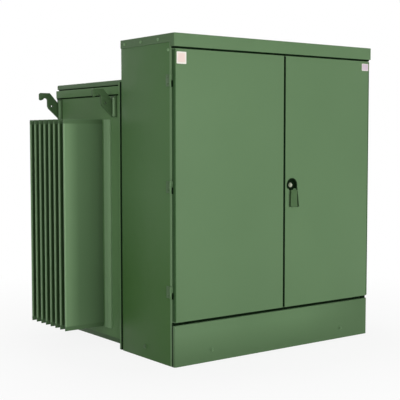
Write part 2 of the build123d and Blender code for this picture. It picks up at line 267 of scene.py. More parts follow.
class Finish:
    """A material whose pattern reads Object coordinates."""

    def __init__(self, name, roughness, metallic=0.0, specular=0.5):
        self.material = bpy.data.materials.new(name)
        self.material.use_nodes = True
        tree = self.material.node_tree
        self.nodes, self.links = tree.nodes, tree.links
        self.shader = self.nodes["Principled BSDF"]
        self.shader.inputs["Roughness"].default_value = roughness
        self.shader.inputs["Metallic"].default_value = metallic
        self.shader.inputs["Specular IOR Level"].default_value = specular
        self.place = self.nodes.new("ShaderNodeTexCoord").outputs["Object"]

    def stretch(self, x, y, z):
        """The place, stretched for a grain that runs one way."""
        mapping = self.nodes.new("ShaderNodeMapping")
        mapping.inputs["Scale"].default_value = (x, y, z)
        self.links.new(self.place, mapping.inputs["Vector"])
        return mapping.outputs["Vector"]

    def noise(self, scale, detail, place=None):
        noise = self.nodes.new("ShaderNodeTexNoise")
        noise.inputs["Scale"].default_value = scale
        noise.inputs["Detail"].default_value = detail
        self.links.new(place or self.place, noise.inputs["Vector"])
        return noise.outputs["Fac"]

    def between(self, value, low, high):
        """Spreads a noise, which stays near a half, over a range of numbers."""
        spread = self.nodes.new("ShaderNodeMapRange")
        spread.inputs["From Min"].default_value = 0.3
        spread.inputs["From Max"].default_value = 0.7
        spread.inputs["To Min"].default_value = low
        spread.inputs["To Max"].default_value = high
        self.links.new(value, spread.inputs["Value"])
        return spread.outputs["Result"]

    def beyond(self, axis, middle, start, full):
        """A share that changes with the distance from a plane across an axis."""
        parts = self.nodes.new("ShaderNodeSeparateXYZ")
        self.links.new(self.place, parts.inputs["Vector"])
        offset = self.nodes.new("ShaderNodeMath")
        offset.operation = "SUBTRACT"
        offset.inputs[1].default_value = middle
        self.links.new(parts.outputs[axis], offset.inputs[0])
        away = self.nodes.new("ShaderNodeMath")
        away.operation = "ABSOLUTE"
        self.links.new(offset.outputs["Value"], away.inputs[0])
        share = self.nodes.new("ShaderNodeMapRange")
        share.inputs["From Min"].default_value = start
        share.inputs["From Max"].default_value = full
        self.links.new(away.outputs["Value"], share.inputs["Value"])
        return share.outputs["Result"]

    def blend(self, share, one, two):
        """Mixes two colours, or a colour and an output."""
        mix = self.nodes.new("ShaderNodeMix")
        mix.data_type = "RGBA"
        self.links.new(share, mix.inputs["Factor"])
        for socket, value in (("A", one), ("B", two)):
            target = next(s for s in mix.inputs if s.name == socket and s.type == "RGBA")
            if isinstance(value, tuple):
                target.default_value = (*value, 1)
            else:
                self.links.new(value, target)
        return next(s for s in mix.outputs if s.type == "RGBA")

    def colour(self, value):
        self.links.new(value, self.shader.inputs["Base Color"])

    def roughness(self, value):
        self.links.new(value, self.shader.inputs["Roughness"])

    def bump(self, height, strength, distance):
        bump = self.nodes.new("ShaderNodeBump")
        bump.inputs["Strength"].default_value = strength
        bump.inputs["Distance"].default_value = distance
        self.links.new(height, bump.inputs["Height"])
        self.links.new(bump.outputs["Normal"], self.shader.inputs["Normal"])


DRIFT_SCALE, CLOUD_SCALE, PEEL_SCALE, SPECKLE_SCALE = 1.3, 14.0, 420.0, 900.0
SPECKLE_SHARE, SPECKLE_TONE = 0.12, 0.6
GRAIN_SCALE, MOTTLE_SCALE, SHEEN_SCALE, SKIN_SCALE = 60.0, 38.0, 120.0, 700.0


def sprayed_paint(name, deep, pale, layers=(), roughness=0.42):
    """Semi-matte sprayed enamel: broad drift of tone, a fine speckle and orange peel.

    Each layer is a tone laid over the paint and where it lies: axis, middle, start and full distance; most
    layers here paint highlights or shade.
    """
    paint = Finish(name, roughness, specular=0.1)
    tone = paint.blend(paint.between(paint.noise(DRIFT_SCALE, 2.0), 0.0, 1.0), deep, pale)
    for weathered, *where in layers:
        tone = paint.blend(paint.beyond(*where), tone, weathered)
    speckle = paint.between(paint.noise(SPECKLE_SCALE, 1.0), 0.0, SPECKLE_SHARE)
    paint.colour(paint.blend(speckle, tone, tuple(SPECKLE_TONE * part for part in deep)))
    paint.roughness(paint.between(paint.noise(CLOUD_SCALE, 4.0), roughness - 0.05, roughness + 0.05))
    paint.bump(paint.noise(PEEL_SCALE, 2.0), 0.06, 0.0006)
    return paint.material


def brushed_metal(name, deep, pale, roughness, stretch):
    """Bare metal with a grain along one axis."""
    metal = Finish(name, roughness, metallic=1.0)
    grain = metal.noise(GRAIN_SCALE, 5.0, metal.stretch(*stretch))
    metal.colour(metal.blend(metal.between(grain, 0.0, 1.0), deep, pale))
    metal.roughness(metal.between(grain, roughness - 0.08, roughness + 0.1))
    metal.bump(grain, 0.08, 0.0004)
    return metal.material


def moulding(name, deep, pale, roughness, specular=0.5):
    """Cast or moulded insulation with a slight mottle and a fine skin."""
    resin = Finish(name, roughness, specular=specular)
    mottle = resin.between(resin.noise(MOTTLE_SCALE, 4.0), 0.0, 1.0)
    resin.colour(resin.blend(mottle, deep, pale))
    resin.roughness(resin.between(resin.noise(SHEEN_SCALE, 2.0), roughness - 0.06, roughness + 0.08))
    resin.bump(resin.noise(SKIN_SCALE, 2.0), 0.05, 0.0004)
    return resin.material


GREEN_DEEP, GREEN_PALE = (0.115, 0.201, 0.097), (0.126, 0.217, 0.106)
# Painted highlights: a light green for rounded outer edges and the fins' outer part, and a paler green for
# the fins' outer edges.
GREEN_FIN_HIGHLIGHT, GREEN_OUTER_HIGHLIGHT = (0.250, 0.395, 0.212), (0.185, 0.305, 0.155)
# Painted shade: a dark green on the fin faces inside the pack, and a mid green at the fins' top and foot.
GREEN_GAP_SHADE, GREEN_END_SHADE = (0.036, 0.080, 0.027), (0.100, 0.178, 0.083)
# A darker, greener tone for low on the sides, and painted shade for the sill.
GREEN_LOW_SIDE, GREEN_SILL_SHADE = (0.072, 0.170, 0.047), (0.092, 0.163, 0.076)
fin_low, fin_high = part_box("left_cooling_fins")
fin_middle, fin_half = (fin_low + fin_high) / 2, (fin_high - fin_low) / 2


def short_of(end, start, full):
    """Where a tone starts and where it is full, each measured back from an end."""
    return end - start, end - full


# The fins: painted light on their outer part, painted shade on the faces inside the pack, a painted highlight
# on the outer edges and painted shade at the top and foot.
fin_layers = [(GREEN_OUTER_HIGHLIGHT, "X", 0.0, *short_of(-fin_low.x, 0.095, 0.025)),
              (GREEN_GAP_SHADE, "Y", fin_middle.y, *short_of(fin_half.y, 0.003, 0.006)),
              (GREEN_FIN_HIGHLIGHT, "X", 0.0, *short_of(-fin_low.x, 0.010, 0.005)),
              (GREEN_END_SHADE, "Z", fin_middle.z, *short_of(fin_half.z, 0.030, 0.022))]
# The sides: darker and greener towards the bottom, and a painted highlight along the rolled front edge.
side_layers = [(GREEN_LOW_SIDE, "Z", side_high.z, *short_of(side_high.z, 0.90, 0.42)),
               (GREEN_OUTER_HIGHLIGHT, "Y", 0.0, *short_of(-side_low.y, 0.0130, 0.0095))]
# The sill: painted shade, a dimmer reflection, towards its foot and towards its right end.
sill_layers = [(GREEN_SILL_SHADE, "Z", sill_high.z, *short_of(sill_high.z, 0.17, 0.03)),
               (GREEN_SILL_SHADE, "X", sill_low.x, 0.95, 1.40)]
green_paint = sprayed_paint("green_paint", GREEN_DEEP, GREEN_PALE)
fin_paint = sprayed_paint("fin_light_and_shade_green_paint", GREEN_DEEP, GREEN_PALE, fin_layers)
# The sides take a more saturated copy of the green: painted shade, standing in for the weaker reflection on
# the shaded sides.
side_shade_paint = sprayed_paint("side_shaded_green_paint", (0.100, 0.206, 0.078), (0.109, 0.222, 0.085), side_layers)
sill_shade_paint = sprayed_paint("sill_shaded_green_paint", GREEN_DEEP, GREEN_PALE, sill_layers)
# The tank takes a paler copy of the green: painted light on its shaded sides.
tank_lit_paint = sprayed_paint("tank_lit_green_paint", (0.132, 0.252, 0.104), (0.143, 0.270, 0.113))
# A pale copy of the green for the radiator ribs, the side bolts and the weld beads: painted highlight.
highlight_paint = sprayed_paint("highlight_green_paint", (0.215, 0.352, 0.182), (0.230, 0.375, 0.196))
# A darker copy of the green for the paddle: painted shade.
paddle_shade_paint = sprayed_paint("paddle_shaded_green_paint", (0.066, 0.128, 0.052), (0.074, 0.140, 0.058),
                             roughness=0.38)
# A darker copy of the green for the hook plates: painted shade where the cabinet shades them.
hook_shade_paint = sprayed_paint("hook_shaded_green_paint", (0.078, 0.146, 0.062), (0.086, 0.158, 0.069))
pale_paint = sprayed_paint("inner_green_paint", (0.136, 0.226, 0.120), (0.150, 0.246, 0.133), roughness=0.5)
# Near black with a green cast, the colour of shade in deep gaps: painted shade where strips of it fill gaps.
gasket_rubber = moulding("gasket_rubber", (0.002, 0.009, 0.002), (0.004, 0.013, 0.004), 0.8, 0.05)
# A dark green for strips along the doors' hinge edges: painted shade of the edge returns.
edge_shade_rubber = moulding("green_edge_shade_rubber", (0.030, 0.078, 0.024), (0.037, 0.090, 0.030), 0.7, 0.15)
bright_steel = brushed_metal("bright_steel", (0.58, 0.58, 0.56), (0.78, 0.78, 0.75), 0.32, (1, 1, 9))
epoxy_grey = moulding("epoxy_grey", (0.030, 0.031, 0.034), (0.048, 0.049, 0.053), 0.36)
moulded_black = moulding("moulded_black", (0.010, 0.010, 0.011), (0.020, 0.020, 0.022), 0.5)
epoxy_brown = moulding("epoxy_brown", (0.052, 0.019, 0.011), (0.078, 0.030, 0.018), 0.3)
dull_steel = brushed_metal("dull_steel", (0.36, 0.39, 0.30), (0.48, 0.51, 0.40), 0.38, (1, 1, 9))
tinned_copper = brushed_metal("tinned_copper", (0.50, 0.46, 0.40), (0.66, 0.62, 0.55), 0.38, (9, 1, 1))
gauge_face = moulding("gauge_face", (0.66, 0.66, 0.62), (0.72, 0.72, 0.68), 0.4)
valve_brass = brushed_metal("valve_brass", (0.44, 0.29, 0.09), (0.56, 0.39, 0.14), 0.36, (2, 1, 2))
bare_aluminium = brushed_metal("bare_aluminium", (0.58, 0.59, 0.60), (0.68, 0.69, 0.70), 0.58, (1, 1, 14))
cream_vinyl = moulding("cream_vinyl", (0.78, 0.62, 0.56), (0.82, 0.67, 0.61), 0.45)
lilac_vinyl = moulding("lilac_vinyl", (0.60, 0.49, 0.58), (0.66, 0.55, 0.63), 0.45)
pale_border = moulding("pale_border", (0.78, 0.74, 0.67), (0.82, 0.78, 0.71), 0.45)

slot_finishes = {
    "green_paint": green_paint, "pale_paint": pale_paint, "gasket_rubber": gasket_rubber,
    "bright_steel": bright_steel, "epoxy_grey": epoxy_grey, "moulded_black": moulded_black,
    "epoxy_brown": epoxy_brown, "tinned_copper": tinned_copper, "gauge_face": gauge_face,
    "valve_brass": valve_brass, "bare_aluminium": bare_aluminium,
}
for row in frame["record"]["subparts"]:
    solid = frame["nodes"][row["node"]]
    solid.data.materials.clear()
    solid.data.materials.append(slot_finishes[row["material_slot"]])


# Bolts, modelled once for each group and copied

def scaled(steps, way, size):
    """Steps of a turned head, for its size and the way it points along its axis."""
    return [(way * rise * size, radius * size) for rise, radius in steps]


def hex_bolt(name, at, axis, way, size):
    """A hexagon head with a rounded crown, on a washer."""
    washer = turned(name, at, axis, scaled([(0, 1.15), (0.18, 1.15), (0.24, 1.05)], way, size), 20)
    head = turned(name + "_head", at, axis, scaled([(0.2, 0.86), (0.68, 0.86), (0.84, 0.68)], way, size), 6)
    return join(name, [washer, head])


def bolts(name, places, axis, way, size, finish=green_paint):
    """A group of hexagon bolts."""
    done(copies(hex_bolt(name, places[0], axis, way, size), places), finish)


def dome_rivets(name, places, axis, way, size, finish=green_paint):
    """A group of low round heads."""
    rivet = turned(name, places[0], axis,
                   scaled([(0, 1.0), (0.2, 0.95), (0.4, 0.72), (0.5, 0.35)], way, size), 14)
    done(copies(rivet, places), finish)


# Cabinet

PANEL_ROUND = 0.004
FOLD_ROUND = 0.002
REAR_LAP = 0.004
FRONT_LAP = 0.0032
SIDE_FRONT = side_low.y - FRONT_LAP
HOOD_CORNER = 0.006
HOOD_OVERHANG = 0.009
HOOD_SKIRT = 0.046
SILL_CORNER = 0.012
SILL_SEAM = 0.009
SILL_FOLD = 0.006
BOLT, SMALL_BOLT, REAR_BOLT = 0.011, 0.0078, 0.009
HOOD_BOLT_Z, CORNER_BOLT_Z, FOOT_BOLT_Z = 1.735, 1.675, 0.065
CORNER_BOLT_BACK, FOOT_BOLT_BACK = 0.051, 0.280
HOOD_BOLT_BACK, HOOD_BOLT_X = (0.140, 0.305, 0.470), (-0.55, -0.18, 0.18, 0.55)


def side_sheet():
    """Left side: a sheet rolled round its front edge and folded at the rear."""
    rear_y = side_high.y + REAR_LAP
    sheet = block("left_side_sheet", (side_low.x, SIDE_FRONT, side_low.z), (side_high.x, rear_y, side_high.z))
    pick_faces(lambda at, normal: normal.x > 0.5 or abs(normal.z) > 0.5)
    bpy.ops.mesh.delete(type="FACE")
    pick_edges(lambda at, way: near(at.x, side_low.x) and near(at.y, SIDE_FRONT))
    round_edges(PANEL_ROUND, 6)
    pick_edges(lambda at, way: near(at.x, side_low.x) and near(at.y, rear_y))
    round_edges(FOLD_ROUND, 2)
    modify(sheet, "SOLIDIFY", thickness=SHEET, offset=-1, use_even_offset=True)
    return sheet


left_sheet = side_sheet()
right_sheet = other_side(left_sheet, "right_side_sheet")
done(left_sheet, side_shade_paint, stands_for=["cabinet_left_side"])
done(right_sheet, side_shade_paint, stands_for=["cabinet_right_side"])


def hood_sheet():
    """Hood: a pressed lid, its front fall deeper than its sides and a little ahead of the doors."""
    hood = block("hood_sheet", (hood_low.x, hood_low.y - HOOD_OVERHANG, hood_low.z), hood_high)
    pick_edges(lambda at, way: abs(way.z) > 0.9)
    round_edges(HOOD_CORNER, 6)
    pick_edges(lambda at, way: near(at.z, hood_high.z))
    round_edges(HOOD_CORNER / 2, 4)
    pick_faces(lambda at, normal: normal.z < -0.9)
    bpy.ops.mesh.inset(thickness=SHEET)
    push(z=hood_high.z - hood_low.z - SHEET)
    cut(hood, block("below_skirt", (hood_low.x - OVERRUN, side_low.y, hood_low.z - OVERRUN),
                    (hood_high.x + OVERRUN, hood_high.y + OVERRUN, hood_high.z - HOOD_SKIRT)))
    ease(hood, 0.0008, 1, 50)
    return hood


done(hood_sheet(), green_paint, stands_for=["cabinet_hood"])


def sill_sheet():
    """Front sill: a sheet wrapped round both corners, its top edge folded back."""
    sill = block("sill_sheet", sill_low, (sill_high.x, SIDE_FRONT - SILL_SEAM, sill_high.z))
    pick_faces(lambda at, normal: normal.y > 0.5 or normal.z < -0.5)
    bpy.ops.mesh.delete(type="FACE")
    pick_edges(lambda at, way: abs(way.z) > 0.9 and near(at.y, sill_low.y))
    round_edges(SILL_CORNER, 6)
    pick_faces(lambda at, normal: normal.z > 0.5)
    bpy.ops.mesh.inset(thickness=SILL_FOLD)
    bpy.ops.mesh.delete(type="FACE")
    pick_edges(lambda at, way: near(at.z, sill_high.z) and at.y < sill_low.y + SHEET)
    round_edges(FOLD_ROUND, 2)
    modify(sill, "SOLIDIFY", thickness=SHEET, offset=-1, use_even_offset=True)
    return sill


done(sill_sheet(), sill_shade_paint, stands_for=["front_sill"])

bolts("sill_bolts", [(-0.486, FACE_Y, FOOT_BOLT_Z), (0.499, FACE_Y, 0.064)], "y", -1, BOLT)
rear_places = [(x, hood_high.y, HOOD_BOLT_Z) for x in HOOD_BOLT_X]
bolts("hood_bolts_rear", rear_places, "y", 1, REAR_BOLT)
for side, way, hood_x in (("left", -1, hood_low.x), ("right", 1, hood_high.x)):
    x = -way * SIDE_X
    bolts(side + "_foot_bolt", [(x, FACE_Y + FOOT_BOLT_BACK, FOOT_BOLT_Z)], "x", way, BOLT)
    hood_places = [(hood_x, FACE_Y + back, HOOD_BOLT_Z) for back in HOOD_BOLT_BACK]
    # The hood's side bolts and the corner bolts take the pale paint: painted highlight.
    bolts("hood_bolts_" + side, hood_places, "x", way, SMALL_BOLT, highlight_paint)
    corner = (x, FACE_Y + CORNER_BOLT_BACK, CORNER_BOLT_Z)
    bolts("corner_bolt_" + side, [corner], "x", way, SMALL_BOLT, highlight_paint)


# Doors

LIP = 0.018
DOOR_ROUND = 0.003
HINGE_EDGE_ROUND = 0.005
MEETING_ROUND = 0.0018
FLAP = 0.0001


def door_sheet(name, low, high, hinge_x):
    """Door: a pan, rounder along its hinge edge, with a lip turned in round its back."""
    door = block(name, low, high)
    free_x = low.x + high.x - hinge_x
    pick_edges(lambda at, way: near(at.y, low.y) and near(at.x, hinge_x))
    round_edges(HINGE_EDGE_ROUND, 5)
    pick_edges(lambda at, way: near(at.y, low.y) and near(at.x, free_x))
    round_edges(MEETING_ROUND, 3)
    pick_edges(lambda at, way: at.y < low.y + HINGE_EDGE_ROUND and (near(at.z, low.z) or near(at.z, high.z)))
    round_edges(DOOR_ROUND, 4)
    pick_faces(lambda at, normal: normal.y > 0.9)
    bpy.ops.mesh.inset(thickness=LIP)
    push(y=-SHEET)
    middle = (Vector(low) + Vector(high)) / 2
    size = Vector(high) - Vector(low)
    wider = [(size[i] - 2 * SHEET) / (size[i] - 2 * LIP) for i in (0, 2)]
    push(y=-FLAP)
    bpy.ops.transform.resize(value=(wider[0], 1, wider[1]), center_override=middle)
    push(y=-(size.y - 2 * SHEET - FLAP))
    return door


left_pan = door_sheet("left_door_pan", left_door_low, left_door_high, left_door_low.x)
right_pan = door_sheet("right_door_pan", right_door_low, right_door_high, right_door_high.x)


# Handle, set in a dish in the right door

POCKET = 0.036
DISH_OUTLINE = (0.024, 0.041, 0.060, 0.130, 0.014)
DISH_DEPTH = dish_high.y - dish_low.y
DISH_SHEET = 0.002
DISH_FLOOR = DISH_DEPTH - DISH_SHEET
DISH_ROUND = 0.010
RIM_WIDTH, RIM_PROUD = 0.0028, 0.0014
PIN_RADIUS, PIN_BACK, PIN_DROP = 0.003, 0.004, 0.034
bolt_at = Vector(((bolt_low.x + bolt_high.x) / 2, FACE_Y, dish_high.z - POCKET))
pin_at = bolt_at + Vector((0, PIN_BACK, -PIN_DROP))


def leaning_block(name, left, right_top, right_foot, foot, top, y):
    """A block on the door whose right side leans, measured from the locking bolt."""
    piece = block(name, bolt_at + Vector((-left, y[0], -foot)), bolt_at + Vector((right_foot, y[1], top)))
    pick_edges(lambda at, way: near(at.x, bolt_at.x + right_foot) and near(at.z, bolt_at.z + top))
    bpy.ops.transform.translate(value=(right_top - right_foot, 0, 0))
    return piece


def dish_form(name, grow, y):
    """The dish's outline as a solid: a round pocket over a foot that widens."""
    foot = leaning_block(name, *(size + grow for size in DISH_OUTLINE), y)
    pick_edges(lambda at, way: abs(way.y) > 0.9)
    round_edges(DISH_ROUND + grow, 5)
    pocket = turned(name + "_pocket", bolt_at, "y",
                    [(y[0] + SHY, POCKET + grow), (y[1] - SHY, POCKET + grow)], 48)
    modify(foot, "BOOLEAN", operation="UNION", object=pocket, solver="EXACT")
    bpy.data.objects.remove(pocket)
    return foot


cut(right_pan, dish_form("door_opening", 0.0, (-OVERRUN, SHEET + 0.004)))
dish = dish_form("handle_dish_tray", 0.0, (0.0, DISH_DEPTH))
cut(dish, dish_form("dish_inside", -DISH_SHEET, (-OVERRUN, DISH_FLOOR)))
dish_rim = dish_form("handle_dish_rim", RIM_WIDTH, (-RIM_PROUD, 0.0))
cut(dish_rim, dish_form("rim_inside", -DISH_SHEET, (-OVERRUN, OVERRUN)))
ease(dish_rim, 0.0005, 2, 50)
pin = turned("handle_pin", pin_at, "x", [(-0.023, PIN_RADIUS), (0.046, PIN_RADIUS)], 20)
done(join("handle_dish_tray", [dish, pin]), green_paint, "right_door", ["handle_dish"])
done(dish_rim, green_paint, "right_door")
done(left_pan, green_paint, "left_door", ["left_door"])
done(right_pan, green_paint, "right_door", ["right_door"])

PADDLE_TOP = 0.028
PADDLE_FOOT = 0.1262
PADDLE_PROUD = 0.007
PADDLE_TIP = 0.0005
PADDLE_BACK = 0.002
PADDLE_SIDES = (0.009, 0.037, 0.041)


def paddle():
    """Pull handle: a plate that thins to its foot, with eased edges and a barrel on the pin."""
    plate = leaning_block("paddle", *PADDLE_SIDES, PADDLE_FOOT, -PADDLE_TOP, (-PADDLE_PROUD, PADDLE_BACK))
    pick_edges(lambda at, way: near(at.y, FACE_Y - PADDLE_PROUD) and near(at.z, bolt_at.z - PADDLE_FOOT))
    bpy.ops.transform.translate(value=(0, PADDLE_PROUD - PADDLE_TIP, 0))
    pick_edges(lambda at, way: abs(way.y) > 0.9 or abs(way.y) > 0.1 and abs(way.z) < 0.1)
    round_edges(0.004, 3)
    ease(plate, 0.0014, 3, 50)
    barrel = turned("paddle_barrel", pin_at, "x",
                    [(-0.005, 0.0042), (-0.0042, 0.005), (0.0322, 0.005), (0.033, 0.0042)], 24)
    return join("paddle", [plate, barrel])


done(paddle(), paddle_shade_paint, "handle", ["door_handle"])


def lock_bolt():
    """Five-sided head on a round collar in the pocket."""
    collar = turned("lock_bolt", bolt_at, "y", [
        (DISH_FLOOR, 0.0135), (DISH_FLOOR - 0.002, 0.0135), (DISH_FLOOR - 0.003, 0.0125)], 28)
    head = turned("lock_bolt_head", bolt_at, "y", [
        (DISH_FLOOR - 0.002, 0.010), (DISH_FLOOR - 0.0085, 0.010), (DISH_FLOOR - 0.010, 0.0085)], 5)
    return join("lock_bolt", [collar, head])


done(lock_bolt(), dull_steel, "right_door", ["locking_bolt"])

CUP_WALL, CUP_LIP = 0.0336, 0.0405
CUP_MOUTH = -0.0195


def bolt_cup():
    """Near-black cup that lines the bolt's pocket, painted shade of the deep pocket, with a lip round it,
    open below for the paddle.
    """
    cup = turned("bolt_cup", bolt_at, "y", [
        (DISH_FLOOR, CUP_WALL), (-RIM_PROUD, CUP_WALL), (-0.00142, CUP_LIP), (-0.0022, CUP_LIP),
        (-0.0026, CUP_LIP - 0.001), (-0.00262, 0.0330), (0.0003, 0.0318), (DISH_FLOOR - 0.004, 0.0300),
        (DISH_FLOOR - 0.001, 0.0270)], 48)
    cut(cup, block("cup_mouth", bolt_at + Vector((-0.05, -0.02, -0.060)),
                   bolt_at + Vector((0.05, DISH_FLOOR - RUBBER, CUP_MOUTH))))
    return cup


done(bolt_cup(), gasket_rubber, "right_door")

BAR_HEIGHT = 0.060


def door_bars(side):
    """Cross bars on a door's back, folded to a hat section."""
    low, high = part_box(side + "_door_stiffeners")
    bars = []
    for z in (low.z, high.z - BAR_HEIGHT):
        bar = block(side + "_door_bars", (low.x, low.y, z), (high.x, high.y, z + BAR_HEIGHT))
        pick_faces(lambda at, normal: normal.y > 0.9)
        bpy.ops.transform.resize(value=(0.985, 1, 0.6), center_override=(
            (low.x + high.x) / 2, high.y, z + BAR_HEIGHT / 2))
        ease(bar, 0.003, 2)
        bars.append(bar)
    return join(side + "_door_bars", bars)


for side in ("left", "right"):
    done(door_bars(side), green_paint, side + "_door", [side + "_door_stiffeners"])

rods = solid_copy("latch_rods", "latch_bars")
ease(rods, 0.001, 2)
done(rods, bright_steel, "right_door", ["latch_rods"])


# Dark strips in the gaps round the doors and at the tank joints, painted shade

EDGE_LIP = 0.006
STRIP_SHORT = 0.004
MEETING_STRIP = 0.0065
FOOT_STRIP_DROP = 0.012


def shade_strip(name, low, high, body="housing", finish=gasket_rubber):
    """A dark strip with eased edges, put in a gap as painted shade."""
    strip = block(name, low, high)
    ease(strip, 0.0004, 2)
    done(strip, finish, body)


# A near-black strip behind the gap under the hood: painted shade.
header = block("header_shade_strip", (hood_low.x + SHEET, FACE_Y + SHEET, left_door_high.z + 0.002),
               (hood_high.x - SHEET, FACE_Y + 0.021, hood_low.z + 0.010))
pick_edges(lambda at, way: abs(way.z) > 0.9 and near(at.y, FACE_Y + SHEET))
round_edges(HOOD_CORNER - SHEET, 5)
done(header, gasket_rubber)
rail_low, rail_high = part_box("lower_front_rail")
# Near-black strips under the doors, behind the meeting gap and on the meeting edge: painted shade.
shade_strip("foot_shade_strip", (rail_low.x, rail_low.y - 0.004, sill_high.z - FOOT_STRIP_DROP),
     (rail_high.x, rail_low.y, sill_high.z + 0.009))
shade_strip("meeting_shade_strip", (right_door_low.x - MEETING_STRIP, FACE_Y + 0.002, right_door_low.z + STRIP_SHORT),
     (right_door_low.x, FACE_Y + 0.022, right_door_high.z - STRIP_SHORT), "right_door")
shade_strip("meeting_shade_lip", (right_door_low.x - MEETING_STRIP, FACE_Y - 0.0010, right_door_low.z + STRIP_SHORT),
     (right_door_low.x + 0.0032, FACE_Y + 0.0024, right_door_high.z - STRIP_SHORT), "right_door")


def either_side(sign, *stations):
    """Stations of the left side, in order, on the side that the sign tells."""
    return sorted(-sign * x for x in stations)


for side, sign in (("left", -1), ("right", 1)):
    door = side + "_door"
    # Dark strips on the doors' hinge edges, in the sill's corner seam, under the door ends and in the joint
    # to the tank: painted shade.
    x0, x1 = either_side(sign, left_door_low.x - RUBBER, left_door_low.x)
    shade_strip(side + "_edge_shade_strip", (x0, FACE_Y + HINGE_EDGE_ROUND, left_door_low.z + 0.006),
         (x1, left_door_high.y - 0.001, left_door_high.z - 0.006), door, edge_shade_rubber)
    x0, x1 = either_side(sign, left_door_low.x - RUBBER, left_door_low.x + EDGE_LIP)
    shade_strip(side + "_edge_shade_lip", (x0, FACE_Y - 0.0008, left_door_low.z + STRIP_SHORT),
         (x1, FACE_Y + HINGE_EDGE_ROUND + 0.001, left_door_high.z - STRIP_SHORT), door, edge_shade_rubber)
    x0, x1 = either_side(sign, SIDE_X + 0.0006, SIDE_X + 0.0060)
    shade_strip(side + "_sill_shade_strip", (x0, SIDE_FRONT - SILL_SEAM, sill_low.z), (x1, SIDE_FRONT - SHY, sill_high.z))
    x0, x1 = either_side(sign, SIDE_X + 0.0010, side_high.x)
    shade_strip(side + "_foot_shade_strip_end", (x0, SIDE_FRONT - 0.010, sill_high.z - FOOT_STRIP_DROP),
         (x1, SIDE_FRONT - SHY, left_door_low.z - 0.0015))
    x0, x1 = either_side(sign, SIDE_X - RUBBER, plate_low.x)
    shade_strip(side + "_joint_shade_strip", (x0, side_high.y + REAR_LAP, 0.004),
         (x1, flange_low.y + REAR_LAP, flange_high.z))


# Hinges

HINGE_HALF = 0.032
SCREW_BACK, SCREW_STEP, SCREW_SIZE = 0.032, 0.018, 0.0055
SLOT_PROUD = 0.0035
seat_low, seat_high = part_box("left_hinge_seats")
hinge_middles = [seat_low.z + HINGE_HALF, (seat_low.z + seat_high.z) / 2, seat_high.z - HINGE_HALF]


def hinges(side, sign):
    """Hinge halves with eased edges, the screws of the fixed leaves, and dark blocks in the door's edge that
    paint the shade of the slots.
    """
    seats = solid_copy(side + "_hinge_seats", side + "_hinge_leaves")
    ease(seats, 0.0008, 2)
    done(seats, green_paint, stands_for=[side + "_hinge_seats"])
    straps = solid_copy(side + "_hinge_straps", side + "_hinge_knuckles")
    ease(straps, 0.0008, 2)
    done(straps, green_paint, side + "_door", [side + "_hinge_straps"])
    leaf_x, screw_y = (SIDE_X - SHEET) * -sign, seat_low.y + SCREW_BACK
    places = [(leaf_x, screw_y, z + step) for z in hinge_middles for step in (-SCREW_STEP, SCREW_STEP)]
    dome_rivets(side + "_hinge_screws", places, "x", sign, SCREW_SIZE)
    # Dark blocks in the door's edge beside the barrels: painted shade of the slots.
    x0, x1 = either_side(sign, left_door_low.x, left_door_low.x - SLOT_PROUD)
    slots = []
    for z in hinge_middles:
        slot = block(side + "_hinge_slot_shades", (x0, FACE_Y + 0.0125, z - 0.035),
                     (x1, left_door_high.y, z - 0.002))
        ease(slot, 0.001, 2)
        slots.append(slot)
    done(join(side + "_hinge_slot_shades", slots), gasket_rubber, side + "_door")


hinges("left", -1)
hinges("right", 1)


# Tank

def plain_block(node, name, finish, width=0.003, segments=2):
    """A block with eased edges in place of a plain solid."""
    low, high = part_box(node)
    piece = block(name, low, high)
    ease(piece, width, segments)
    done(piece, finish, stands_for=[node])


def tank_ring(node, name, radius):
    """A block with its two rear corners rounded."""
    low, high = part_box(node)
    piece = block(name, low, high)
    pick_edges(lambda at, way: abs(way.z) > 0.9 and near(at.y, high.y))
    round_edges(radius, 5)
    return piece


plain_block("tank_front_flange", "front_flange", tank_lit_paint, 0.003, 3)
plain_block("left_base_rail", "left_skid", green_paint, 0.004)
plain_block("right_base_rail", "right_skid", green_paint, 0.004)
plain_block("cover_gasket", "lid_gasket", gasket_rubber, 0.002)
plain_block("cabinet_back_panel", "rear_panel", green_paint, 0.001)
plain_block("lower_front_rail", "lower_rail", green_paint, 0.001)
plain_block("terminal_plate", "terminal_board", pale_paint, 0.002)
plain_block("compartment_barrier", "barrier_sheet", pale_paint, 0.001)

shell = tank_ring("tank_body", "tank_shell", 0.008)
ease(shell, 0.002, 2)
done(shell, tank_lit_paint, stands_for=["tank_body"])

bar = tank_ring("tank_rim", "tank_top_bar", 0.017)
rim_low, rim_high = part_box("tank_rim")
cut(bar, block("bar_inside", (tank_low.x, rim_low.y - OVERRUN, rim_low.z - OVERRUN),
               (tank_high.x, tank_high.y, rim_high.z + OVERRUN)))
ease(bar, 0.003, 3)
done(bar, tank_lit_paint, stands_for=["tank_rim"])

# A near-black strip under the tank's top bar: painted shadow under the bar.
STRIP_DROP, STRIP_PROUD = 0.007, 0.004
strip = block("rim_shade_strip", (tank_low.x - STRIP_PROUD, tank_low.y, rim_low.z - STRIP_DROP),
              (tank_high.x + STRIP_PROUD, tank_high.y + STRIP_PROUD, rim_low.z))
cut(strip, block("strip_inside", (tank_low.x, tank_low.y - OVERRUN, rim_low.z - OVERRUN),
                 (tank_high.x, tank_high.y, rim_low.z + OVERRUN)))
ease(strip, 0.0008, 2)
done(strip, gasket_rubber)

lid = tank_ring("tank_cover", "tank_lid", 0.010)
lid_low, lid_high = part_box("tank_cover")
pick_edges(lambda at, way: near(at.z, lid_high.z))
round_edges(0.006, 3)
pick_edges(lambda at, way: near(at.z, lid_low.z))
round_edges(0.003, 2)
done(lid, green_paint, stands_for=["tank_cover"])

